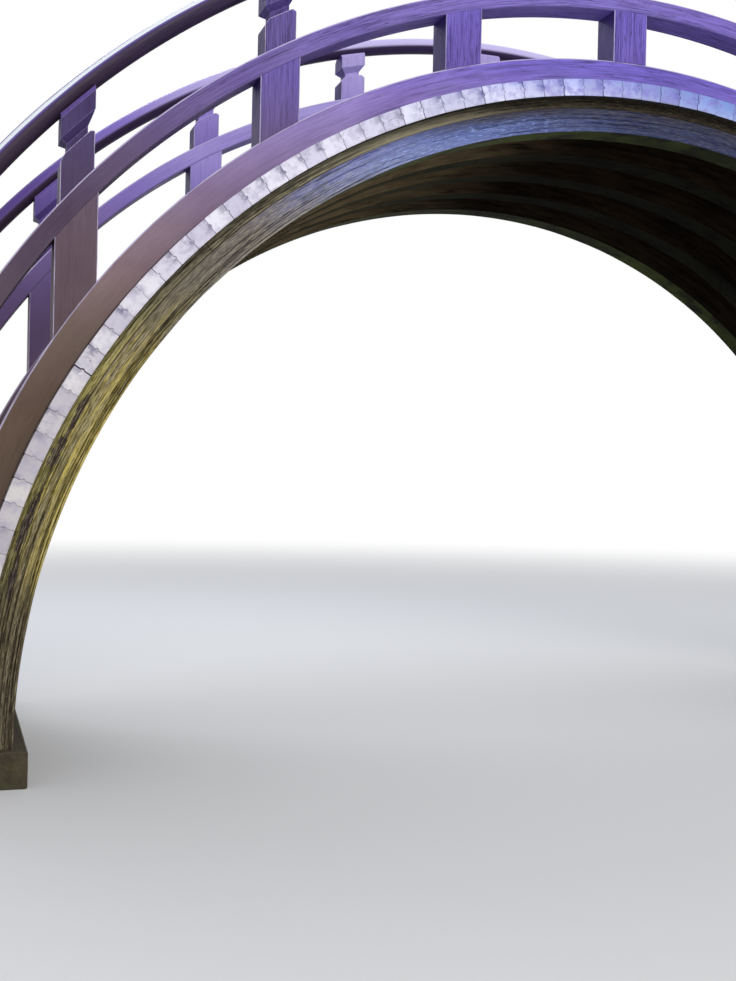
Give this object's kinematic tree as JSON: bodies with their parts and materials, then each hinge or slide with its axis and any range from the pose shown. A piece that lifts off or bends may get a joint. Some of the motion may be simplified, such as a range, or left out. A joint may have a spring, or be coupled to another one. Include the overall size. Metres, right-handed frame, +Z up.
{
  "type": "moon bridge",
  "caption": "High half-round timber footbridge: laminated arch ribs under cross planks, steep treads, and curved curbs, mid rails and round handrails on plumb posts.",
  "frame": {"origin": "middle of the bridge on the floor, half way between the two feet and half way across the deck", "axes": "+X along the span, +Z up, +Y across the deck, away from the pictured side"},
  "size_m": [6.965, 2.058, 3.904],
  "materials": {
    "paint": "mauve-brown paint, weathered",
    "plank": "bare planks, silvered end grain",
    "tread": "bare battens, silvered",
    "rib": "bare laminated timber, weathered and mossy",
    "sole": "bare timber, dark with damp"
  },
  "bodies": {
    "root": {"sole_left": "sole", "sole_right": "sole", "rib_1": "rib", "rib_2": "rib", "rib_3": "rib", "rib_4": "rib", "rib_5": "rib", "rib_board_1": "rib", "rib_board_2": "rib", "rib_board_3": "rib", "rib_board_4": "rib", "rib_board_5": "rib", "deck_left": "plank", "deck_crown": "plank", "deck_right": "plank", "treads_left": "tread", "treads_right": "tread", "curb_near": "paint", "curb_far": "paint", "posts_low_near": "paint", "posts_low_far": "paint", "mid_rail_near": "paint", "mid_rail_far": "paint", "posts_up_near": "paint", "posts_up_far": "paint", "blocks_near": "paint", "blocks_far": "paint", "handrail_near": "paint", "handrail_far": "paint", "newel_near_left": "paint", "newel_near_right": "paint", "newel_far_left": "paint", "newel_far_right": "paint"}
  },
  "joints": []
}
